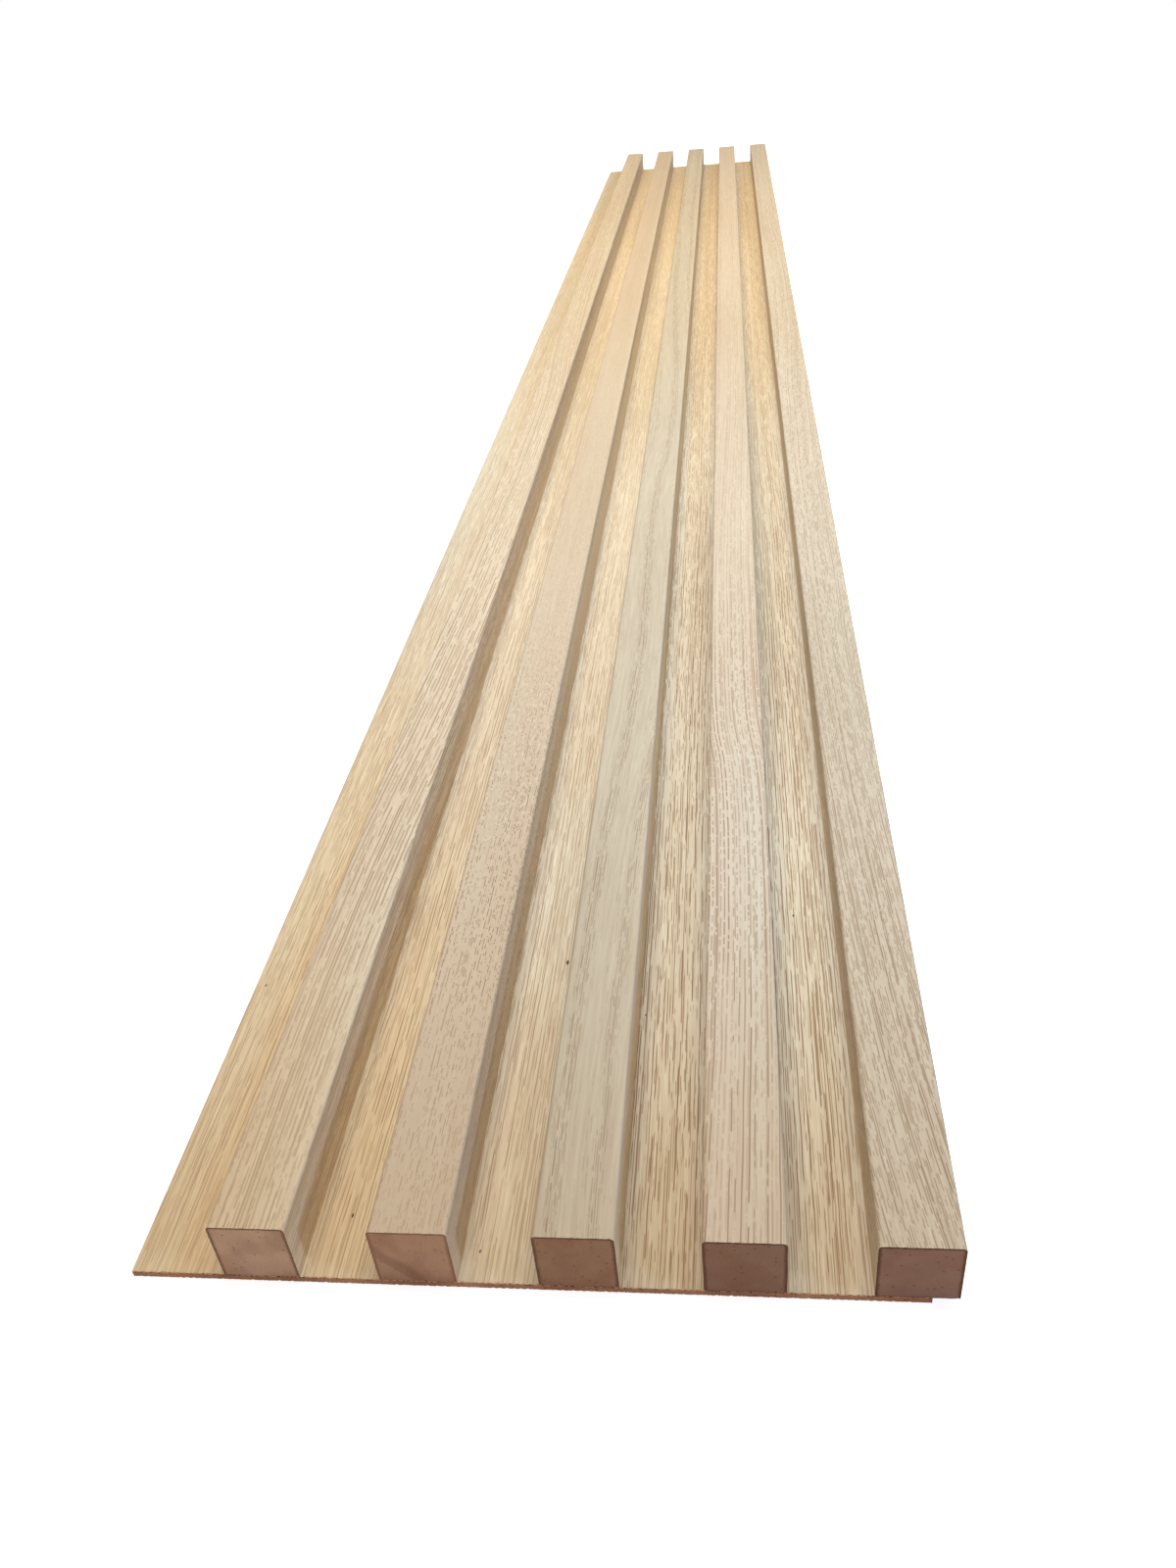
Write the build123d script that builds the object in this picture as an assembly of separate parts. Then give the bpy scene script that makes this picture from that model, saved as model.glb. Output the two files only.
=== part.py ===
from build123d import *
import os

# Slat wall panel: five square slats, each a fibreboard bar with oak veneer folded over three sides,
# glued side by side on a thin fibreboard backing that has one sheet of oak veneer on its face.
# The panel lies on its back, as it would on a bench before it is fixed to a wall:
# X runs across the slats, Y along them, Z out of the wall. Sizes are in millimetres.
# The origin is the centre of the panel's outline, on the back face.
#
# Panels join side by side. The backing runs out past the first slat as a tongue, and the last slat
# stands out past the backing, so that it covers the edge of the next panel's tongue.

# Driving sizes
panel_length = 2440.0  # slats and backing, end to end
slat_count = 5
slat_width = 29.5  # one slat, over its veneer
slat_height = 29.0  # top of a slat above the face of the backing
groove_width = 30.5  # clear space between two slats
core_edge_radius = 1.0  # rounding of the four long edges of a slat's core
wrap_thickness = 0.6  # veneer folded round a slat
board_thickness = 2.5  # fibreboard of the backing
face_thickness = 0.5  # veneer sheet on the backing
tongue_width = 37.0  # backing that shows beside the first slat
lap_overhang = 9.5  # last slat's reach past the edge of the backing

# Worked out from the driving sizes
slat_pitch = slat_width + groove_width
slats_span = slat_width + slat_pitch * (slat_count - 1)
panel_width = tongue_width + slats_span
panel_left = -panel_width / 2
first_slat_left = panel_left + tongue_width
backing_width = panel_width - lap_overhang
face_level = board_thickness + face_thickness
core_width = slat_width - 2 * wrap_thickness
core_height = slat_height - wrap_thickness
wrap_edge_radius = core_edge_radius + wrap_thickness


def slat_left(number):
    """X of the left side of a slat, counted from 1 at the tongue."""
    return first_slat_left + slat_pitch * (number - 1)


def run_along(profile):
    """A section drawn in X and Z, run along the whole panel."""
    return extrude(profile, panel_length / 2, both=True)


def section_rectangle(left, bottom, width, height):
    """A rectangle in the cross-section, placed by its lower left corner."""
    corner = Location((left, 0, bottom), (90, 0, 0))
    return corner * Rectangle(width, height, align=(Align.MIN, Align.MIN))


def long_edges(section, above):
    """The corners of a section that lie higher than a level."""
    return section.vertices().filter_by(lambda corner: corner.Z > above)


def slat_core(number):
    """Fibreboard bar of one slat, with its four long edges rounded."""
    left = slat_left(number) + wrap_thickness
    bar = section_rectangle(left, face_level, core_width, core_height)
    return run_along(fillet(bar.vertices(), core_edge_radius))


def slat_wrap(number):
    """Veneer of one slat: up one side, over the top and down the other, tight on the core's bends."""
    left = slat_left(number)
    middle = face_level + slat_height / 2
    outside = section_rectangle(left, face_level, slat_width, slat_height)
    outside = fillet(long_edges(outside, middle), wrap_edge_radius)
    inside = section_rectangle(left + wrap_thickness, face_level, core_width, core_height)
    inside = fillet(long_edges(inside, middle), core_edge_radius)
    return run_along(outside - inside)


def backing_board():
    """Fibreboard sheet that carries the slats, with its back face on the wall."""
    return run_along(section_rectangle(panel_left, 0, backing_width, board_thickness))


def backing_face():
    """Veneer sheet over the whole face of the backing; the slats are glued on it."""
    return run_along(section_rectangle(panel_left, board_thickness, backing_width, face_thickness))


def panel_parts():
    """Every piece of the panel by name."""
    parts = {"backing_board": backing_board(), "backing_face_veneer": backing_face()}
    for number in range(1, slat_count + 1):
        parts[f"slat_{number}_core"] = slat_core(number)
        parts[f"slat_{number}_veneer"] = slat_wrap(number)
    return parts


os.makedirs("parts", exist_ok=True)
for name, solid in panel_parts().items():
    export_step(solid, f"parts/{name}.step")
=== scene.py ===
import math

import bpy
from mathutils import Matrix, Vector


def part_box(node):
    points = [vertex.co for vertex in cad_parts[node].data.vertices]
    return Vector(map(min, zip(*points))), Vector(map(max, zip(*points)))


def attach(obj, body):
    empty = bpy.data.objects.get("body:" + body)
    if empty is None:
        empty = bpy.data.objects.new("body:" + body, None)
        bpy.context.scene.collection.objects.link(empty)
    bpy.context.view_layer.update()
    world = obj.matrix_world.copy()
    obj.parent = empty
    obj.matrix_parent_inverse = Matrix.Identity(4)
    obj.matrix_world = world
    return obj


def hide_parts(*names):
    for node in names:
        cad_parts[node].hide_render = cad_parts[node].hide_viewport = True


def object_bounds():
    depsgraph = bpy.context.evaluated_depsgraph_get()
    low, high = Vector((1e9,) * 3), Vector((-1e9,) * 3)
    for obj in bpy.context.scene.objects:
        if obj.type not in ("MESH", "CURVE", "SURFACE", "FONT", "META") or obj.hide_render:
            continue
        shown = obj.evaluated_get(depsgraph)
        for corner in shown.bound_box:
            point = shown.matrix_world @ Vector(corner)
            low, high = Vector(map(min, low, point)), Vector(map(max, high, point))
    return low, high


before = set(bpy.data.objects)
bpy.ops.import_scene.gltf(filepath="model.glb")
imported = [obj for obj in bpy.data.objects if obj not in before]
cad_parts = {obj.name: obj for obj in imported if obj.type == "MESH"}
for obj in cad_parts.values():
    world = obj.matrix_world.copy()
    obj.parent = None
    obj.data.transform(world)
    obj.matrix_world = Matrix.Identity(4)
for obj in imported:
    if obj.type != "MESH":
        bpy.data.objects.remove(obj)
cad_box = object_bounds()

# Looks of a slat wall panel that lies on its back: five fibreboard bars with oak veneer folded over
# three sides, on a thin fibreboard backing with an oak veneer face. Lengths are in metres, in the
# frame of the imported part: X across the slats, Y along them, Z up, the near end at the lowest Y.

MM = 0.001
NEAR_END = cad_box[0].y
PANEL_LENGTH = cad_box[1].y - cad_box[0].y

# Thin layers and edges, which the box of a node doesn't give
WRAP_THICKNESS = 0.6 * MM
CORE_EDGE_RADIUS = 1.0 * MM
WRAP_EDGE_RADIUS = CORE_EDGE_RADIUS + WRAP_THICKNESS

# Camera, fitted to the corners of the photographed panel
CAMERA_PLACE = (78.85 * MM, -1474.4 * MM, 405.7 * MM)
CAMERA_TURN = (54.97, 4.82, 5.16)  # degrees about X, Y and Z
FOCAL_SHARE = 1246.5 / 1600  # focal length as a share of the image's long side
SENSOR_SIDE = 36.0  # millimetres, Blender's own default


def colour(red, green, blue):
    """A colour given as it looks on a screen, 0 to 255, in the linear light that Blender mixes."""
    parts = [value / 255 for value in (red, green, blue)]
    return [p / 12.92 if p <= 0.04045 else ((p + 0.055) / 1.055) ** 2.4 for p in parts] + [1.0]


WHITE = [1.0, 1.0, 1.0, 1.0]


# Node trees. A Value stands for a node's output, and sums of Values add Math nodes to their tree.

# The powers of the light by which green and blue darken in pores and dark fibres, so that they
# turn brown
GREEN_LOSS = 1.4
BLUE_LOSS = 1.7


def give(tree, socket, value):
    """Joins a Value to a socket, or sets the socket's own value."""
    if isinstance(value, Value):
        tree.links.new(value.socket, socket)
    else:
        socket.default_value = value


class Value:
    """One output of a node."""

    def __init__(self, tree, socket):
        self.tree = tree
        self.socket = socket

    def work(self, operation, *others):
        """A Math node with this value first."""
        node = self.tree.nodes.new("ShaderNodeMath")
        node.operation = operation
        for socket, value in zip(node.inputs, (self, *others)):
            give(self.tree, socket, value)
        return Value(self.tree, node.outputs[0])

    def __add__(self, other):
        return self.work("ADD", other)

    def __sub__(self, other):
        return self.work("SUBTRACT", other)

    def __mul__(self, other):
        return self.work("MULTIPLY", other)

    def __truediv__(self, other):
        return self.work("DIVIDE", other)

    def __abs__(self):
        return self.work("ABSOLUTE")

    def __neg__(self):
        return self.work("MULTIPLY", -1.0)

    def least(self, other):
        return self.work("MINIMUM", other)

    def most(self, other):
        return self.work("MAXIMUM", other)

    def taken_from(self, whole):
        """What is left of a whole when this is taken off it."""
        return -self + whole


class Bench:
    """Adds nodes to one tree."""

    def __init__(self, tree):
        self.tree = tree

    def node(self, kind, inputs=None, out=0, **settings):
        """A node with its settings, and its inputs by name. Gives one output, by place or name."""
        made = self.tree.nodes.new(kind)
        for name, value in settings.items():
            setattr(made, name, value)
        for name, value in (inputs or {}).items():
            socket = next(s for s in made.inputs if s.name == name and s.enabled)
            give(self.tree, socket, value)
        return Value(self.tree, made.outputs[out])

    def vector(self, x=0.0, y=0.0, z=0.0):
        """Three values as one vector."""
        return self.node("ShaderNodeCombineXYZ", {"X": x, "Y": y, "Z": z})

    def axes(self, vector):
        """The three values of a vector."""
        split = self.node("ShaderNodeSeparateXYZ", {"Vector": vector}).socket.node
        return [Value(self.tree, socket) for socket in split.outputs]

    def noise(self, x, y, z, detail=2.0, roughness=0.5):
        """Smooth noise about 0. One bump takes about one unit of each value."""
        place = self.vector(x, y, z)
        inputs = {"Vector": place, "Scale": 1.0, "Detail": detail, "Roughness": roughness}
        return self.node("ShaderNodeTexNoise", inputs) - 0.5

    def dashes(self, across, along, gap, width, length, share, seed):
        """Thin broken lines side by side, one to each gap. Share is how much of a line is there."""
        place = across / gap + seed
        row = place.work("FLOOR")
        inputs = {"Vector": self.vector(row, seed)}
        luck = self.axes(self.node("ShaderNodeTexWhiteNoise", inputs, "Color", noise_dimensions="2D"))
        # A line is there wherever its own stretch of noise is high enough
        wave = self.noise(along / length + luck[1] * 50.0, row * 3.1, seed, roughness=0.6)
        over = wave + share * 0.4 - 0.25 + luck[2] * 0.1
        # It lies by chance in the middle part of its gap, and is weak or strong by chance
        off_line = abs(place - row - 0.3 - luck[0] * 0.4) * gap
        thin = self.rise(off_line / width, 0.75, 0.2)
        return self.rise(over, 0.0, 0.06) * thin * (luck[2] * 0.5 + 0.5)

    def dots(self, x, y, radius):
        """Scattered soft dots, one to each unit of x and y, and a random value for each dot."""
        inputs = {"Vector": self.vector(x, y), "Scale": 1.0}
        distance = self.node("ShaderNodeTexVoronoi", inputs, voronoi_dimensions="2D")
        chance = self.axes(Value(self.tree, distance.socket.node.outputs["Color"]))
        return self.rise(distance, radius, radius * 0.5), chance

    def rise(self, value, start, end):
        """A smooth step from 0 at start to 1 at end. With end below start it falls."""
        made = self.node("ShaderNodeMapRange", interpolation_type="SMOOTHSTEP").socket.node
        for name, setting in (("Value", value), ("From Min", start), ("From Max", end)):
            give(self.tree, made.inputs[name], setting)
        return Value(self.tree, made.outputs["Result"])

    def mixed(self, share, first, second):
        """Two colours mixed."""
        made = self.node("ShaderNodeMix", data_type="RGBA").socket.node
        sockets = [s for s in made.inputs if s.enabled]
        for socket, value in zip(sockets, (share, first, second)):
            give(self.tree, socket, value)
        return Value(self.tree, next(s for s in made.outputs if s.enabled))

    def dimmed(self, shade, factor):
        """A colour made lighter or darker by a factor."""
        inputs = {"Vector": shade, "Scale": factor}
        return self.node("ShaderNodeVectorMath", inputs, operation="SCALE")

    def times(self, shade, other):
        """Two colours multiplied."""
        made = self.node("ShaderNodeVectorMath", operation="MULTIPLY").socket.node
        for socket, value in zip(made.inputs, (shade, other)):
            give(self.tree, socket, value)
        return Value(self.tree, made.outputs[0])

    def toned(self, shade, light):
        """A colour made lighter or darker by a factor. It turns browner as it darkens."""
        factors = self.vector(light, light.work("POWER", GREEN_LOSS), light.work("POWER", BLUE_LOSS))
        return self.times(shade, factors)

    def curve(self, place, points):
        """A value that follows given points, each a place from 0 to 1 and a value there."""
        made = self.node("ShaderNodeFloatCurve", {"Value": place}).socket.node
        line = made.mapping.curves[0]
        for knot, (x, y) in zip(line.points, (points[0], points[-1])):
            knot.location = (x, y)
        for x, y in points[1:-1]:
            line.points.new(x, y)
        made.mapping.update()
        return Value(self.tree, made.outputs[0])


SOCKET_KINDS = {
    float: "NodeSocketFloat",
    int: "NodeSocketInt",
    list: "NodeSocketColor",
    "material": "NodeSocketMaterial",
    "number": "NodeSocketFloat",
    "colour": "NodeSocketColor",
    "geometry": "NodeSocketGeometry",
}


def new_group(name, kind, inputs, outputs):
    """An empty node group. Gives its bench and its inputs by name."""
    tree = bpy.data.node_groups.new(name, kind)
    for label, value in inputs.items():
        socket_type = SOCKET_KINDS[value if isinstance(value, str) else type(value)]
        socket = tree.interface.new_socket(label, in_out="INPUT", socket_type=socket_type)
        if not isinstance(value, str):
            socket.default_value = value
    for label, value in outputs.items():
        tree.interface.new_socket(label, in_out="OUTPUT", socket_type=SOCKET_KINDS[value])
    bench = Bench(tree)
    entry = bench.node("NodeGroupInput").socket.node
    return bench, {label: Value(tree, entry.outputs[label]) for label in inputs}


def close_group(bench, *results):
    """Joins the results to the group's outputs, in order."""
    end = bench.tree.nodes.new("NodeGroupOutput")
    for socket, value in zip(end.inputs, results):
        give(bench.tree, socket, value)
    return bench.tree


# Shapes. Each piece is laid out straight by Geometry Nodes, cut to length with slightly rough ends,
# and then folded or rounded to its place.

END_CROWDING = 4.0  # how strongly the rows of points crowd towards the two ends
FRAY_REACH = 1.5 * MM  # how far from a cut end the roughness reaches
CREASE_ANGLE = math.radians(40)  # edges sharper than this are shaded as edges
QUARTER_TURN = math.pi / 2


def spread_rows(bench, given, position):
    """The place of each point, with the rows spread along the panel and close together at its ends."""
    across, along, height = bench.axes(position)
    to_end = abs(along).taken_from(1.0)
    share = to_end.work("POWER", END_CROWDING).taken_from(1.0)
    return across, share * given["Length"] * 0.5 * along.work("SIGN"), height


def fray_ends(bench, given, geometry, grain_across, grain_up):
    """Draws the two cut ends in by a little noise, so that they look sawn. Nothing sticks out."""
    across, along, height = bench.axes(bench.node("GeometryNodeInputPosition"))
    side = along.work("SIGN")
    from_end = given["Length"] * 0.5 - abs(along)
    nearness = bench.rise(from_end, FRAY_REACH, 0.0)
    tooth = bench.noise(across / grain_across, side + given["Seed"], height / grain_up, detail=3.0)
    inset = bench.rise(tooth, -0.1, 0.3) * nearness * given["Fray"]
    inputs = {"Geometry": geometry, "Offset": bench.vector(y=-(inset * side))}
    return bench.node("GeometryNodeSetPosition", inputs)


def dress(bench, given, geometry):
    """Smooth shading and the two nodes that every tree ends in. Cut ends get their own material."""
    smooth = bench.node("GeometryNodeSetShadeSmooth", {"Geometry": geometry})
    real = bench.node("GeometryNodeRealizeInstances", {"Geometry": smooth})
    facing = bench.axes(bench.node("GeometryNodeInputNormal"))[1]
    sawn = abs(facing).work("GREATER_THAN", 0.5)  # faces that look along the panel
    main = bench.node("GeometryNodeSetMaterial", {"Geometry": real, "Material": given["Face"]})
    inputs = {"Geometry": main, "Selection": sawn, "Material": given["Sawn End"]}
    return close_group(bench, bench.node("GeometryNodeSetMaterial", inputs))


def grid_block(bench, given, height):
    """A closed block of points, 2 long, that the other steps shape."""
    inputs = {
        "Size": bench.vector(given["Width"], 2.0, height),
        "Vertices X": given["Columns"],
        "Vertices Y": given["Rows"],
        "Vertices Z": given["Layers"],
    }
    return bench.node("GeometryNodeMeshCube", inputs)


def placed(bench, geometry, x, y, z):
    """The geometry with its points at new places."""
    inputs = {"Geometry": geometry, "Position": bench.vector(x, y, z)}
    return bench.node("GeometryNodeSetPosition", inputs)


BLANK = {
    "Length": 2.44,
    "Width": 0.03,
    "Middle": 0.0,
    "Fray": 0.0002,
    "Seed": 1.0,
    "Columns": 70,
    "Rows": 40,
    "Layers": 70,
    "Face": "material",
    "Sawn End": "material",
}


def veneer_tree():
    """A strip of veneer, folded down over two rounded edges where it is wider than its top.

    Width is that of the flat strip, Top its width over the folds and Radius that of the outer
    bends. The strip's flat coordinates stay on it as the UV map Grain, so the grain runs on round
    the bends."""
    sizes = {"Thickness": 0.0006, "Top": 0.03, "Radius": 0.0016, "Level": 0.03}
    bench, given = new_group(
        "Folded veneer", "GeometryNodeTree", {**BLANK, **sizes}, {"Geometry": "geometry"}
    )
    position = bench.node("GeometryNodeInputPosition")
    block = grid_block(bench, given, given["Thickness"])
    flat = placed(bench, block, *spread_rows(bench, given, position))
    frayed = fray_ends(bench, given, flat, grain_across=0.9 * MM, grain_up=0.6 * MM)
    inputs = {"Geometry": frayed, "Name": "Grain", "Value": position}
    marked = bench.node(
        "GeometryNodeStoreNamedAttribute", inputs, data_type="FLOAT2", domain="CORNER"
    )

    across, along, height = bench.axes(position)
    radius = given["Radius"]
    depth = given["Thickness"] * 0.5 - height
    flat_half = given["Top"] * 0.5 - radius
    past = (abs(across) - flat_half).most(0.0)
    turn = (past / radius).least(QUARTER_TURN)
    drop = (past - radius * QUARTER_TURN).most(0.0)
    own_radius = radius - depth
    x = (abs(across).least(flat_half) + own_radius * turn.work("SINE")) * across.work("SIGN")
    z = given["Level"] - radius + own_radius * turn.work("COSINE") - drop
    folded = placed(bench, marked, x + given["Middle"], along, z)
    return dress(bench, given, folded)


def bar_tree():
    """A bar of fibreboard with four rounded long edges, or a square-edged sheet with Radius 0.

    Each point's distance from the sides of the section stays on it as the attribute Rim."""
    sizes = {"Height": 0.03, "Radius": 0.001, "Bottom": 0.0}
    bench, given = new_group(
        "Sawn fibreboard", "GeometryNodeTree", {**BLANK, **sizes}, {"Geometry": "geometry"}
    )
    position = bench.node("GeometryNodeInputPosition")
    block = grid_block(bench, given, given["Height"])
    across, along, height = spread_rows(bench, given, position)
    side_gap = given["Width"] * 0.5 - abs(across)
    top_gap = given["Height"] * 0.5 - abs(height)
    inputs = {"Geometry": block, "Name": "Rim", "Value": bench.vector(side_gap, 0.0, top_gap)}
    marked = bench.node(
        "GeometryNodeStoreNamedAttribute", inputs, data_type="FLOAT_VECTOR", domain="POINT"
    )

    side_start = given["Width"] * 0.5 - given["Radius"]
    top_start = given["Height"] * 0.5 - given["Radius"]
    side_part = (abs(across) - side_start).most(0.0)
    top_part = (abs(height) - top_start).most(0.0)
    diagonal = (side_part * side_part + top_part * top_part).work("SQRT")
    shrink = side_part.most(top_part) / diagonal
    x = (abs(across).least(side_start) + side_part * shrink) * across.work("SIGN")
    z = (abs(height).least(top_start) + top_part * shrink) * height.work("SIGN")
    z = z + given["Height"] * 0.5 + given["Bottom"]
    rounded = placed(bench, marked, x + given["Middle"], along, z)
    frayed = fray_ends(bench, given, rounded, grain_across=1.3 * MM, grain_up=0.7 * MM)
    return dress(bench, given, frayed)


def made_by(tree, name, **values):
    """A piece made by a Geometry Nodes tree, as a plain mesh. Values are named as the inputs."""
    piece = bpy.data.objects.new(name, bpy.data.meshes.new(name))
    bpy.context.scene.collection.objects.link(piece)
    modifier = piece.modifiers.new("Shape", "NODES")
    modifier.node_group = tree
    for item in tree.interface.items_tree:
        label = item.name.lower().replace(" ", "_")
        if item.in_out == "INPUT" and label in values:
            modifier[item.identifier] = values[label]
    depsgraph = bpy.context.evaluated_depsgraph_get()
    mesh = bpy.data.meshes.new_from_object(
        piece.evaluated_get(depsgraph), preserve_all_data_layers=True, depsgraph=depsgraph
    )
    piece.modifiers.clear()
    piece.data = mesh
    mesh.name = name
    mesh.set_sharp_from_angle(angle=CREASE_ANGLE)
    return piece


# Oak. The pattern is worked out on the flat veneer, X across the grain and Y along it.

OAK_LOOK = {
    "Line": 0.0,  # place across the grain lines
    "Along": 0.0,  # place along them
    "Porous": 0.0,  # how much of the porous part of a growth ring is at this place
    "Vigour": 1.0,  # how strong the short pores are at this place
    "Lines": 1.0,  # how strong the long pores are at this place
    "Flecks": 0.0,  # how strong the pale flecks are at this place
    "Specks": 0.0,  # 1 on a dark speck
    "Tint": WHITE,  # what the wood's colour is multiplied by at this place; on the side walls of slats it is painted light
    "Seed": 0.0,
    "Ring Depth": 0.3,  # how much of the deep colour the porous wood has
    "Scatter": 0.3,  # 0 keeps the pores in the porous wood, 1 spreads them
    "Pore Gap": 0.0012,  # short pores, one line to each gap
    "Pore Width": 0.0005,
    "Pore Length": 0.006,
    "Pore Share": 0.5,
    "Pore Depth": 0.5,
    "Line Gap": 0.002,  # long pores
    "Line Width": 0.0005,
    "Line Length": 0.03,
    "Line Share": 0.3,
    "Line Depth": 0.5,
    "Streak": 0.05,  # how strong the soft streaks a millimetre wide are
    "Fibre": 0.08,  # how strong the fine streaks are
    "Cloud": 1.0,  # how strong the broad bands of colour are
    "Pale": colour(230, 204, 171),
    "Deep": colour(205, 172, 130),
    "Blush": colour(226, 192, 160),
}
FLECK_TONE = colour(240, 232, 203)
SPECK_TONE = colour(88, 69, 47)
DEEPEST_PORE = 0.9  # the most that the depths of pores come to
PORE_DARKENING = 0.7  # the share of the light that a pore of depth 1 takes
GLOW = 0.12  # how much lighter and darker the wood gets over a few centimetres
LACQUER_ROUGHNESS = 0.55


def oak_group():
    """Porous wood, pores in broken lines, fibres, soft bands of colour and pale flecks."""
    results = {"Color": "colour", "Roughness": "number", "Height": "number"}
    bench, given = new_group("Oak veneer", "ShaderNodeTree", OAK_LOOK, results)
    line, along, seed = given["Line"], given["Along"], given["Seed"]
    porous = given["Porous"]
    packed = porous.taken_from(1.0) * given["Scatter"] + porous

    def pore_layer(kind, offset):
        """One kind of pore, in broken lines, as deep as its depth."""
        sizes = [given[f"{kind} {part}"] for part in ("Gap", "Width", "Length")]
        share = given[f"{kind} Share"] * packed
        return bench.dashes(line, along, *sizes, share, seed + offset) * given[f"{kind} Depth"]

    short = pore_layer("Pore", 15.0) * given["Vigour"]
    pores = short.most(pore_layer("Line", 17.0) * given["Lines"]).least(DEEPEST_PORE)

    def layer(across_rate, along_rate, offset, roughness=0.5):
        """Noise with so many bumps to a metre across and along the grain."""
        return bench.noise(line * across_rate, along * along_rate, seed + offset, roughness=roughness)

    cloud = layer(across_rate=70.0, along_rate=1.6, offset=20.0)
    glow = layer(across_rate=25.0, along_rate=3.5, offset=25.0)
    fibre = layer(across_rate=2600.0, along_rate=45.0, offset=30.0, roughness=0.6)
    streak = layer(across_rate=620.0, along_rate=20.0, offset=35.0, roughness=0.6)
    fleck = layer(across_rate=600.0, along_rate=170.0, offset=40.0)
    fleck = bench.rise(fleck, 0.04, 0.14) * given["Flecks"]

    blush = bench.rise(cloud * given["Cloud"], -0.16, 0.16)
    shade = bench.mixed(blush, given["Pale"], given["Blush"])
    shade = bench.mixed(porous * given["Ring Depth"], shade, given["Deep"])
    shade = bench.times(shade, given["Tint"])
    shade = bench.mixed(fleck, shade, FLECK_TONE)
    shade = bench.mixed(given["Specks"], shade, SPECK_TONE)
    light = fibre * given["Fibre"] * 2.0 + glow * GLOW + streak * given["Streak"] * 2.0 + 1.0
    shade = bench.toned(shade, light * (pores * -PORE_DARKENING + 1.0))
    roughness = pores * 0.25 + fibre * 0.15 + LACQUER_ROUGHNESS
    height = fibre * 0.3 - pores
    return close_group(bench, shade, roughness, height)


# Fibreboard, on the object's own coordinates

BOARD_LOOK = {
    "Tone": colour(150, 118, 96),
    "Rim Tone": colour(110, 78, 62),
    "Rim": 0.0011,  # width of the dense dark rim
    "Seed": 0.0,
    "Patch X": 0.0,  # lower left corner of a painted patch of light on a sawn end, with a painted band of shade along its slanting edge
    "Patch Z": 0.0,
    "Patch": 0.0,  # how strong the two are
}
WARM_TONE = colour(150, 109, 86)
SHADOW_EDGE_TONE = colour(104, 84, 58)
LIT_CORNER_TONE = colour(170, 148, 128)
LIT_CORNER_WIDTH = 13 * MM  # how far the painted light in the corner reaches along the foot of the end
LIT_CORNER_HEIGHT = 14.5 * MM  # how far it reaches up the left side
PIT_RATE = 420.0  # places for pits to a metre
PIT_RADIUS = 0.28  # as a share of the space between places
PIT_CHANCE = 0.12  # the share of places that hold a pit


def board_group():
    """Pressed fibres: fine speckle, cloudy tone and a dense dark rim. Where asked, a painted patch of
    light in one corner, edged by a painted band of shade.
    """
    results = {"Color": "colour", "Roughness": "number", "Height": "number"}
    bench, given = new_group("Sawn fibreboard face", "ShaderNodeTree", BOARD_LOOK, results)
    x, y, z = bench.axes(bench.node("ShaderNodeTexCoord", out="Object"))
    rim = bench.node("ShaderNodeAttribute", out="Vector", attribute_name="Rim")
    side_gap, _, top_gap = bench.axes(rim)
    seed = given["Seed"]

    def layer(rate, offset=0.0, **look):
        """Noise with so many bumps to a metre."""
        return bench.noise(x * rate, y * rate, z * rate + seed + offset, **look)

    speckle = layer(rate=1500.0, detail=3.0, roughness=0.65)
    cloud = layer(rate=110.0, detail=3.0)
    warm = layer(rate=70.0, offset=9.0)
    pit, luck = bench.dots(x * PIT_RATE + y * PIT_RATE, z * PIT_RATE + seed, PIT_RADIUS)
    pit = pit * luck[0].work("LESS_THAN", PIT_CHANCE)

    gap = side_gap.least(top_gap * 1.7) + speckle * 0.0012 + cloud * 0.0008
    dense = bench.rise(gap, given["Rim"], 0.0)
    # Painted light in the lower left corner of the end, and a painted band of shade along its slanting
    # edge
    right_share = (x - given["Patch X"]) / LIT_CORNER_WIDTH
    lean = right_share + (z - given["Patch Z"]) / LIT_CORNER_HEIGHT + cloud * 0.25
    shadow_edge = bench.rise(lean, 0.96, 1.04) * bench.rise(lean, 1.75, 1.3)
    corner = bench.rise(lean, 1.04, 0.96)

    shade = bench.mixed(bench.rise(warm, -0.12, 0.12) * 0.3, given["Tone"], WARM_TONE)
    shade = bench.mixed(shadow_edge * given["Patch"] * 0.35, shade, SHADOW_EDGE_TONE)
    shade = bench.mixed(corner * given["Patch"] * 0.25, shade, LIT_CORNER_TONE)
    shade = bench.mixed(dense * 0.85, shade, given["Rim Tone"])
    shade = bench.mixed(pit * 0.5, shade, given["Rim Tone"])
    shade = bench.dimmed(shade, speckle * 0.3 + cloud * 0.22 + 1.0)
    height = speckle - pit * 0.5
    return close_group(bench, shade, speckle * 0.2 + 0.8, height)


def new_material(name):
    """An empty node material. Gives it, its bench and its shader node."""
    material = bpy.data.materials.new(name)
    material.use_nodes = True
    bench = Bench(material.node_tree)
    shader = material.node_tree.nodes["Principled BSDF"]
    return material, bench, shader


BUMP_STRENGTH = 0.5
OAK_RELIEF = 0.04 * MM  # how deep the pores look
OAK_SHINE = 0.2  # how strongly the lacquer mirrors
BOARD_RELIEF = 0.2 * MM
BOARD_SHINE = 0.15


def finish_material(bench, shader, group_node, relief, shine):
    """Joins a look's colour, roughness and height to the shader."""
    out = group_node.outputs
    tree = bench.tree
    tree.links.new(out["Color"], shader.inputs["Base Color"])
    tree.links.new(out["Roughness"], shader.inputs["Roughness"])
    height = Value(tree, out["Height"])
    inputs = {"Height": height, "Strength": BUMP_STRENGTH, "Distance": relief}
    give(tree, shader.inputs["Normal"], bench.node("ShaderNodeBump", inputs))
    shader.inputs["Specular IOR Level"].default_value = shine


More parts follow.
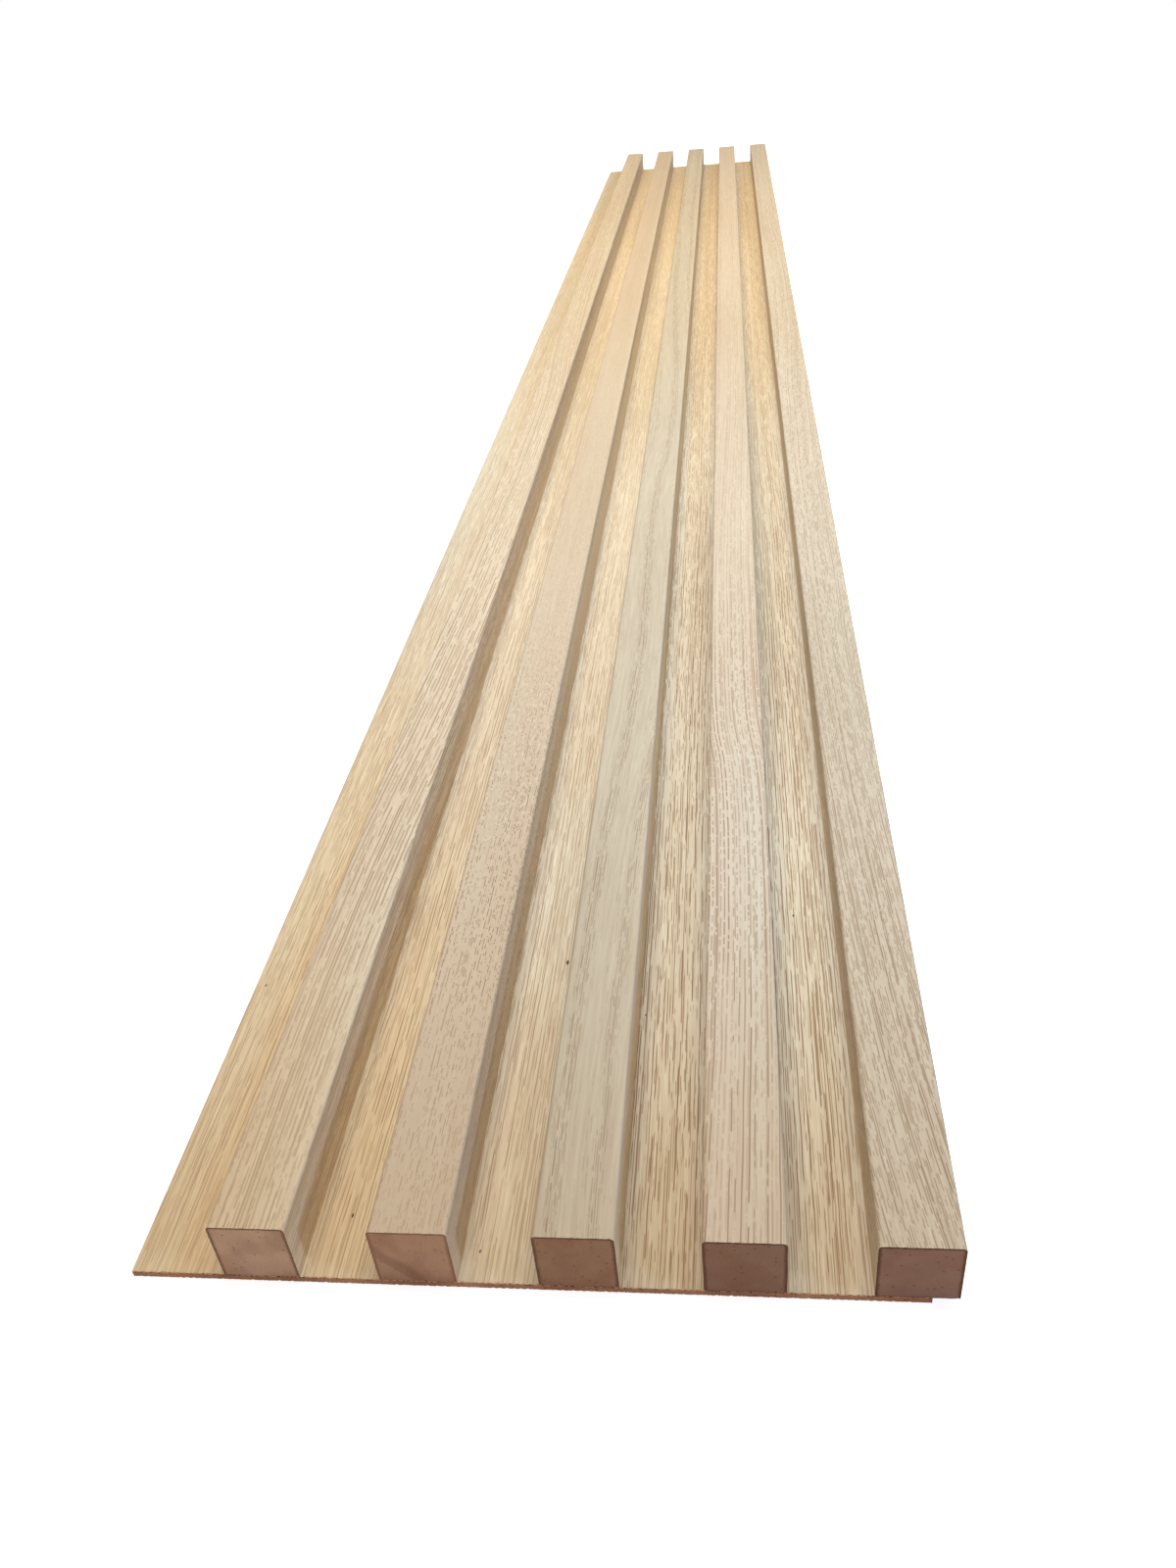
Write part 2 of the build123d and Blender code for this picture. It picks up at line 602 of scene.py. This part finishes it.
def group_in(bench, tree, look):
    """A node group placed in a material, with its inputs by name."""
    made = bench.tree.nodes.new("ShaderNodeGroup")
    made.node_tree = tree
    for name, value in look.items():
        give(bench.tree, made.inputs[name], value)
    return made


DRIFT_RANGE = 100 * MM  # drift curves run from minus to plus half of this
BAND_RANGE = 320 * MM  # the same for band curves
WAVER = 1.0 * MM  # how far the lines waver over a few centimetres
NOISE_PEAK = 0.25  # how far smooth noise mostly goes from its middle
SPECK_STRETCH = 2.5  # how much longer a speck is along the grain
EVEN = [(0, 1.0), (2440, 1.0)]
NONE = [(0, 0.0), (2440, 0.0)]


def oak(
    name,
    drift,
    wander,
    rings=None,
    bands=None,
    vigour=EVEN,
    lines=EVEN,
    flecks=NONE,
    specks=(),
    patches=(),
    **look,
):
    """An oak veneer, laid out as a flat strip with its places in mm from its middle and near end.

    Drift is points along the strip, each with how far the grain lines stand to the right there, in
    mm. Wander is how far they leave that course by chance, in metres. Vigour, lines and flecks are
    points along the strip with the strengths of the short pores, the long pores and the flecks.

    Bands are points across the grain lines with the strength of all pores there, and they are the
    porous wood too where no rings are given. Rings is how far apart scattered growth rings are, in
    metres. Specks are places with their reach. Patches are ovals that multiply the colour there: a
    place, the reach both ways, and factors for red, green and blue. On the side walls of slats they
    are painted light."""
    material, bench, shader = new_material(name)
    across, along, _ = bench.axes(bench.node("ShaderNodeUVMap", uv_map="Grain"))
    share = (along - NEAR_END) / PANEL_LENGTH
    length = PANEL_LENGTH / MM
    seed = look["seed"]

    def along_curve(points):
        return bench.curve(share, [(at / length, value) for at, value in points])

    shift = (along_curve([(at, 0.5 + x * MM / DRIFT_RANGE) for at, x in drift]) - 0.5) * DRIFT_RANGE
    slow = bench.noise(across * 12.0, along * 2.2, seed, detail=1.0)
    quick = bench.noise(across * 90.0, along * 35.0, seed + 5.0)
    line = across - shift + slow * (wander / NOISE_PEAK) + quick * WAVER
    strength = 1.0
    if bands:
        knots = [(0.5 + x * MM / BAND_RANGE, value) for x, value in bands]
        strength = bench.curve(line / BAND_RANGE + 0.5, knots)
    porous = strength
    if rings:
        scattered = bench.noise(line / rings, along * 1.2, seed + 10.0, detail=1.5)
        porous = bench.rise(scattered, -0.04, 0.12)

    def ellipse(x, y, x_reach, y_reach):
        """How far each point is from a place, as a share of the reach: 1 on the oval's edge."""
        aside = ((across - x * MM) / (x_reach * MM)).work("POWER", 2.0)
        ahead = ((along - NEAR_END - y * MM) / (y_reach * MM)).work("POWER", 2.0)
        return (aside + ahead).work("SQRT")

    speck = 0.0
    for x, y, reach in specks:
        speck = bench.rise(ellipse(x, y, reach, reach * SPECK_STRETCH), 1.0, 0.4).most(speck)
    tint = WHITE
    for x, y, x_reach, y_reach, factors in patches:
        strength_here = bench.rise(ellipse(x, y, x_reach, y_reach), 1.3, 0.3)
        tint = bench.mixed(strength_here, tint, [*factors, 1.0])
    named = {key.replace("_", " ").title(): value for key, value in look.items()}
    places = {
        "Line": line,
        "Along": along,
        "Porous": porous,
        "Vigour": along_curve(vigour) * strength,
        "Lines": along_curve(lines) * strength,
        "Flecks": along_curve(flecks),
        "Specks": speck,
        "Tint": tint,
    }
    pattern = group_in(bench, OAK, {**places, **named})
    finish_material(bench, shader, pattern, OAK_RELIEF, OAK_SHINE)
    return material


def fibreboard(name, **look):
    """A bare sawn face of fibreboard."""
    material, bench, shader = new_material(name)
    named = {key.replace("_", " ").title(): value for key, value in look.items()}
    pattern = group_in(bench, BOARD, named)
    finish_material(bench, shader, pattern, BOARD_RELIEF, BOARD_SHINE)
    return material


OAK = oak_group()
BOARD = board_group()

oak_faces = {
    1: oak(
        "oak_slat_1",
        drift=[(0, -1), (150, 0), (400, 13), (830, 24), (1200, 12), (1700, 4), (2440, 2)],
        wander=0.0022,
        rings=0.009,
        vigour=[(0, 0.85), (120, 0.82), (260, 0.84), (420, 0.72), (700, 0.6), (2440, 0.5)],
        lines=[(0, 0.6), (120, 0.7), (230, 1.0), (420, 1.0), (700, 0.7), (2440, 0.5)],
        patches=[(0, 10, 60, 150, (0.99, 0.965, 0.91)), (0, 1600, 60, 1000, (0.95, 0.965, 0.97))],
        seed=3.0,
        ring_depth=0.15,
        scatter=0.85,
        pore_gap=0.0012,
        pore_width=0.0005,
        pore_length=0.008,
        pore_share=0.55,
        pore_depth=0.4,
        line_gap=0.0021,
        line_width=0.00085,
        line_length=0.022,
        line_share=0.75,
        line_depth=0.54,
        streak=0.12,
        fibre=0.12,
        cloud=0.7,
        pale=colour(237, 220, 188),
        deep=colour(210, 187, 151),
        blush=colour(237, 216, 183),
    ),
    2: oak(
        "oak_slat_2",
        drift=[(0, 0), (400, 2), (1200, -2), (2440, 2)],
        wander=0.0012,
        rings=0.008,
        vigour=[
            (0, 0.35), (110, 0.6), (170, 1.0), (290, 0.9), (420, 0.55), (560, 0.3), (2440, 0.25),
        ],
        lines=[(0, 0.25), (90, 0.7), (160, 0.75), (240, 0.3), (2440, 0.3)],
        flecks=[
            (0, 0.0), (210, 0.1), (260, 0.45), (350, 0.45), (420, 0.2), (700, 0.12), (2440, 0.0),
        ],
        # Painted light: the right side wall made lighter, as lit from the right
        patches=[(29, 1500, 16, 1300, (1.18, 1.2, 1.18))],
        seed=11.0,
        ring_depth=0.1,
        scatter=0.85,
        pore_gap=0.001,
        pore_width=0.00038,
        pore_length=0.004,
        pore_share=0.5,
        pore_depth=0.8,
        line_gap=0.0023,
        line_width=0.0006,
        line_length=0.01,
        line_share=0.5,
        line_depth=0.55,
        streak=0.07,
        fibre=0.08,
        cloud=0.6,
        pale=colour(224, 205, 173),
        deep=colour(202, 176, 140),
        blush=colour(223, 200, 168),
    ),
    3: oak(
        "oak_slat_3",
        drift=[
            (0, 0), (60, -1), (200, 1), (400, 9), (650, 8), (880, 16), (1150, 8), (1500, 0), (2440, 0),
        ],
        wander=0.003,
        bands=[
            (-160, 0.6), (-24, 0.6), (-18, 0.15), (-14, 0.2), (-11, 0.45), (-8, 0.85), (-5, 0.3),
            (0, 0.15), (3, 0.4), (5, 0.2), (7.5, 0.85), (10, 0.6), (13, 0.2), (19, 0.15), (24, 0.8),
            (160, 0.8),
        ],
        vigour=[(0, 0.75), (100, 0.9), (400, 0.9), (700, 0.65), (2440, 0.45)],
        # Painted light: the right side wall made lighter, as lit from the right, near the end and
        # further along
        patches=[(29, 60, 16, 600, (1.28, 1.22, 1.14)), (29, 1600, 16, 1500, (1.2, 1.16, 1.07))],
        seed=23.0,
        ring_depth=0.14,
        scatter=0.35,
        pore_gap=0.001,
        pore_width=0.00044,
        pore_length=0.01,
        pore_share=0.75,
        pore_depth=0.6,
        line_gap=0.0017,
        line_width=0.0006,
        line_length=0.016,
        line_share=0.6,
        line_depth=0.6,
        streak=0.16,
        fibre=0.09,
        cloud=0.5,
        pale=colour(220, 206, 176),
        deep=colour(190, 177, 144),
        blush=colour(214, 200, 173),
    ),
    4: oak(
        "oak_slat_4",
        drift=[(0, 0), (120, 4), (200, 5), (280, 3), (350, -3), (450, -4), (900, 2), (2440, 0)],
        wander=0.0016,
        rings=0.006,
        vigour=[(0, 0.3), (130, 0.6), (170, 1.15), (340, 1.1), (430, 0.7), (560, 0.4), (2440, 0.3)],
        lines=[
            (0, 1.0), (80, 1.1), (150, 1.05), (200, 0.5), (320, 0.5), (390, 0.9), (560, 0.55),
            (2440, 0.4),
        ],
        patches=[(0, 210, 60, 140, (1.02, 1.055, 1.09)), (0, 1000, 60, 350, (0.96, 0.95, 0.94))],
        seed=31.0,
        ring_depth=0.1,
        scatter=0.85,
        pore_gap=0.0019,
        pore_width=0.0007,
        pore_length=0.006,
        pore_share=0.75,
        pore_depth=0.54,
        line_gap=0.0024,
        line_width=0.0006,
        line_length=0.018,
        line_share=0.7,
        line_depth=0.54,
        streak=0.12,
        fibre=0.08,
        cloud=0.5,
        pale=colour(232, 217, 189),
        deep=colour(210, 188, 155),
        blush=colour(232, 212, 184),
    ),
    5: oak(
        "oak_slat_5",
        drift=[(0, 0), (200, -18), (400, -24), (900, -22), (1480, -10), (1700, -18), (2440, -10)],
        wander=0.003,
        rings=0.005,
        vigour=[(0, 0.95), (80, 1.1), (300, 0.9), (700, 0.75), (1200, 0.55), (2440, 0.45)],
        lines=[(0, 0.9), (190, 0.9), (300, 0.75), (700, 0.75), (2440, 0.45)],
        flecks=[(0, 0.1), (400, 0.15), (2440, 0.0)],
        patches=[(0, 400, 60, 120, (0.93, 0.93, 0.91))],
        seed=43.0,
        ring_depth=0.1,
        scatter=0.8,
        pore_gap=0.001,
        pore_width=0.00042,
        pore_length=0.008,
        pore_share=0.62,
        pore_depth=0.52,
        line_gap=0.0019,
        line_width=0.0006,
        line_length=0.012,
        line_share=0.62,
        line_depth=0.52,
        streak=0.14,
        fibre=0.12,
        cloud=0.6,
        pale=colour(230, 217, 191),
        deep=colour(200, 187, 157),
        blush=colour(225, 210, 184),
    ),
}
oak_backing = oak(
    "oak_backing",
    drift=[(0, 0), (400, 1), (1200, -1), (2440, 0)],
    wander=0.0014,
    rings=0.02,
    bands=[
        (-160, 0.62), (-90, 0.64), (-77, 0.74), (-50, 0.74), (-10, 0.7), (25, 0.75), (42, 1.15),
        (90, 1.15), (120, 1.05), (160, 0.9),
    ],
    vigour=[(0, 0.45), (130, 0.88), (350, 0.85), (700, 0.62), (1200, 0.48), (2440, 0.4)],
    lines=[(0, 0.48), (130, 0.84), (350, 0.85), (700, 0.62), (1200, 0.48), (2440, 0.4)],
    specks=[
        (-143.5, 153, 0.5), (-68.5, 27, 0.55), (-15.5, 13, 0.45), (1.5, 169, 0.9), (40.5, 135, 0.4),
        (109.5, 202, 0.6),
    ],
    patches=[
        (-110, 40, 95, 300, (0.97, 0.9, 0.78)), (-142, 110, 40, 420, (1.08, 1.0, 0.87)),
        (88, 500, 50, 900, (0.9, 0.92, 0.94)), (52, 0, 25, 90, (0.87, 0.85, 0.81)),
        (-7, 225, 14, 110, (1.05, 1.1, 1.15)), (113, 215, 15, 190, (1.12, 1.21, 1.31)),
    ],
    seed=57.0,
    ring_depth=0.25,
    scatter=0.85,
    pore_gap=0.001,
    pore_width=0.0004,
    pore_length=0.024,
    pore_share=0.62,
    pore_depth=0.74,
    line_gap=0.0018,
    line_width=0.00047,
    line_length=0.04,
    line_share=0.66,
    line_depth=1.0,
    streak=0.21,
    fibre=0.19,
    cloud=0.8,
    pale=colour(234, 223, 196),
    deep=colour(203, 186, 154),
    blush=colour(231, 216, 187),
)

# Each slat's sawn end: the fibreboard's own tone with painted light and shade, lighter on slats 1 and
# 2 and darker on slats 3 to 5. The rim tones, which the veneer's cut edges use too, are darker on
# slats 3 to 5 as well.
CORE_TONES_WITH_SHADE = {
    1: colour(221, 199, 171),
    2: colour(206, 178, 149),
    3: colour(178, 150, 122),
    4: colour(162, 138, 117),
    5: colour(167, 142, 124),
}
RIM_TONES_WITH_SHADE = {
    1: colour(143, 120, 96),
    2: colour(163, 133, 109),
    3: colour(124, 98, 79),
    4: colour(113, 88, 73),
    5: colour(108, 82, 68),
}
sawn_board = fibreboard(
    "sawn_backing",
    tone=colour(199, 162, 128),
    rim_tone=colour(112, 86, 63),
    rim=0.0002,
    seed=5.0,
)
sawn_lip = fibreboard(
    "sawn_backing_lip",
    tone=colour(243, 205, 165),
    rim_tone=colour(120, 88, 59),
    rim=0.0,
    seed=8.0,
)


# Pieces

VENEER = veneer_tree()
BAR = bar_tree()


def put_on(piece, node):
    """The piece stands for a CAD node, whose own mesh it hides, and rides on the one body."""
    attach(piece, "root")
    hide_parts(node)


def slat_core(number):
    """The fibreboard bar inside a slat. The second has a painted patch of light in one corner of its
    end, edged by a painted band of shade.
    """
    node = f"slat_{number}_core"
    low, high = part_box(node)
    core_face = fibreboard(
        f"sawn_core_{number}",
        tone=CORE_TONES_WITH_SHADE[number],
        rim_tone=RIM_TONES_WITH_SHADE[number],
        seed=float(number),
        # Painted light and shade on the second core's end
        patch=1.0 if number == 2 else 0.0,
        patch_x=low.x,
        patch_z=low.z,
    )
    core = made_by(
        BAR,
        f"core_{number}",
        length=high.y - low.y,
        width=high.x - low.x,
        height=high.z - low.z,
        radius=CORE_EDGE_RADIUS,
        middle=(low.x + high.x) / 2,
        bottom=low.z,
        fray=0.15 * MM,
        seed=float(number),
        columns=72,
        layers=72,
        rows=36,
        face=core_face,
        sawn_end=core_face,
    )
    put_on(core, node)


def slat_veneer(number, oak_face):
    """The oak strip round a slat. Its flat width is its two sides, its top and its two bends."""
    node = f"slat_{number}_veneer"
    low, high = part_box(node)
    top = high.x - low.x
    straight = 2 * (high.z - low.z - WRAP_EDGE_RADIUS) + top - 2 * WRAP_EDGE_RADIUS
    veneer_edge = fibreboard(
        f"sawn_veneer_{number}",
        # the cut edge takes its slat's rim tone, with its painted shade
        tone=RIM_TONES_WITH_SHADE[number],
        rim_tone=RIM_TONES_WITH_SHADE[number],
        seed=number + 20.0,
    )
    wrap = made_by(
        VENEER,
        f"veneer_{number}",
        length=high.y - low.y,
        width=straight + math.pi * WRAP_EDGE_RADIUS,
        thickness=WRAP_THICKNESS,
        top=top,
        radius=WRAP_EDGE_RADIUS,
        middle=(low.x + high.x) / 2,
        level=high.z,
        fray=0.2 * MM,
        seed=number + 10.0,
        columns=206,
        layers=3,
        rows=36,
        face=oak_face,
        sawn_end=veneer_edge,
    )
    put_on(wrap, node)


def backing_board():
    """The thin sheet behind everything, square-edged."""
    low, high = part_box("backing_board")
    board = made_by(
        BAR,
        "board",
        length=high.y - low.y,
        width=high.x - low.x,
        height=high.z - low.z,
        radius=0.0,
        middle=(low.x + high.x) / 2,
        bottom=low.z,
        fray=0.5 * MM,
        seed=30.0,
        columns=600,
        layers=7,
        rows=30,
        face=sawn_board,
        sawn_end=sawn_board,
    )
    put_on(board, "backing_board")


def backing_veneer():
    """The oak sheet on the backing. Its top is given as wider than the sheet, so it stays flat."""
    low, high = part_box("backing_face_veneer")
    face_sheet = made_by(
        VENEER,
        "backing_veneer",
        length=high.y - low.y,
        width=high.x - low.x,
        thickness=high.z - low.z,
        top=high.x - low.x + 2 * WRAP_EDGE_RADIUS,
        radius=WRAP_EDGE_RADIUS,
        middle=(low.x + high.x) / 2,
        level=high.z,
        fray=0.9 * MM,
        seed=40.0,
        columns=700,
        layers=3,
        rows=30,
        face=oak_backing,
        sawn_end=sawn_lip,
    )
    put_on(face_sheet, "backing_face_veneer")


for number, oak_face in oak_faces.items():
    slat_core(number)
    slat_veneer(number, oak_face)
backing_board()
backing_veneer()


# Floor, light and camera


def lamp(name, kind, place, aim, power, tint):
    """A lamp that points at a place and isn't itself in the picture."""
    data = bpy.data.lights.new(name, kind)
    data.energy = power
    data.color = tint
    made = bpy.data.objects.new(name, data)
    bpy.context.scene.collection.objects.link(made)
    made.location = place
    made.rotation_euler = (Vector(aim) - Vector(place)).to_track_quat("-Z", "Y").to_euler()
    made.visible_camera = False
    return data


FLOOR_HALF = 2.0
FLOOR_LEVEL = -0.3 * MM  # just under the panel's back
FLOOR_TONE = 0.82
FLOOR_GLOW = 0.85  # what the floor adds where it is seen directly or mirrored, so that it looks white
AMBIENT = [0.09, 0.06, 0.036, 1.0]  # the even light all round


def seen_directly(bench):
    """1 for the camera and for what mirrors or lets through, 0 for light on matt surfaces."""
    path = bench.node("ShaderNodeLightPath").socket.node
    seen = Value(bench.tree, path.outputs["Is Camera Ray"])
    for label in ("Is Glossy Ray", "Is Transmission Ray"):
        seen = seen.most(Value(bench.tree, path.outputs[label]))
    return seen


def white_floor():
    """A wide white floor that keeps the panel's shadow."""
    corners = [(x, y, FLOOR_LEVEL) for x, y in ((-1, -1), (1, -1), (1, 1), (-1, 1))]
    mesh = bpy.data.meshes.new("floor")
    mesh.from_pydata(
        [(x * FLOOR_HALF, y * FLOOR_HALF, z) for x, y, z in corners], [], [(0, 1, 2, 3)]
    )
    floor = bpy.data.objects.new("floor", mesh)
    bpy.context.scene.collection.objects.link(floor)
    material, bench, shader = new_material("white_floor")
    shader.inputs["Base Color"].default_value = (FLOOR_TONE, FLOOR_TONE, FLOOR_TONE, 1.0)
    shader.inputs["Roughness"].default_value = 1.0
    shader.inputs["Specular IOR Level"].default_value = 0.0
    shader.inputs["Emission Color"].default_value = WHITE
    give(bench.tree, shader.inputs["Emission Strength"], seen_directly(bench) * FLOOR_GLOW)
    mesh.materials.append(material)


def white_world():
    """Even light all round, seen as plain white."""
    world = bpy.data.worlds.new("studio")
    bpy.context.scene.world = world
    world.use_nodes = True
    bench = Bench(world.node_tree)
    surface = world.node_tree.nodes["World Output"].inputs["Surface"]
    shade = bench.mixed(seen_directly(bench), AMBIENT, WHITE)
    give(bench.tree, surface, bench.node("ShaderNodeBackground", {"Color": shade}))


white_floor()
white_world()

MIDDLE = (0.0, 0.0, 0.0)
NEAR_PART = (0.0, NEAR_END + 0.5, 0.0)


def softbox(name, place, aim, power, tint, width, length):
    """A wide soft lamp."""
    data = lamp(name, "AREA", place, aim, power, tint)
    data.shape = "RECTANGLE"
    data.size = width
    data.size_y = length


def spot(name, place, aim, power, tint, radius, angle):
    """A compact lamp with a soft-edged beam."""
    data = lamp(name, "SPOT", place, aim, power, tint)
    data.shadow_soft_size = radius
    data.spot_size = math.radians(angle)
    data.spot_blend = 1.0


softbox(
    "warm_overhead", place=(0.0, 0.2, 2.2), aim=(0.0, 0.2, 0.0),
    power=46.0, tint=(1.0, 0.82, 0.57), width=1.4, length=0.6,
)
softbox(
    "cool_right", place=(2.0, 0.9, 2.0), aim=(0.0, 0.9, 0.0),
    power=25.0, tint=(0.3, 0.6, 1.0), width=1.2, length=1.2,
)
softbox(
    "low_front", place=(0.0, -3.6, 0.25), aim=(0.0, NEAR_END, 0.0),
    power=9.8, tint=(1.0, 0.5, 0.35), width=0.6, length=0.3,
)
spot(
    "cool_pool", place=(0.0, -0.9, 2.4), aim=NEAR_PART,
    power=110.0, tint=(0.37, 0.62, 1.0), radius=0.2, angle=32,
)
spot(
    "cool_middle", place=(0.0, 0.1, 2.4), aim=MIDDLE,
    power=38.0, tint=(0.2, 0.57, 1.0), radius=0.2, angle=30,
)
spot(
    "cool_side", place=(2.244, -1.85, 0.955), aim=(0.0, NEAR_END, 0.03),
    power=53.0, tint=(0.56, 0.69, 1.0), radius=0.04, angle=40,
)

camera_data = bpy.data.cameras.new("camera")
camera_data.sensor_width = SENSOR_SIDE
camera_data.lens = FOCAL_SHARE * SENSOR_SIDE
camera_data.clip_start = 0.01
camera = bpy.data.objects.new("camera", camera_data)
camera.location = CAMERA_PLACE
camera.rotation_euler = [math.radians(angle) for angle in CAMERA_TURN]
bpy.context.scene.collection.objects.link(camera)
bpy.context.scene.camera = camera
bpy.context.scene.view_settings.view_transform = "Standard"
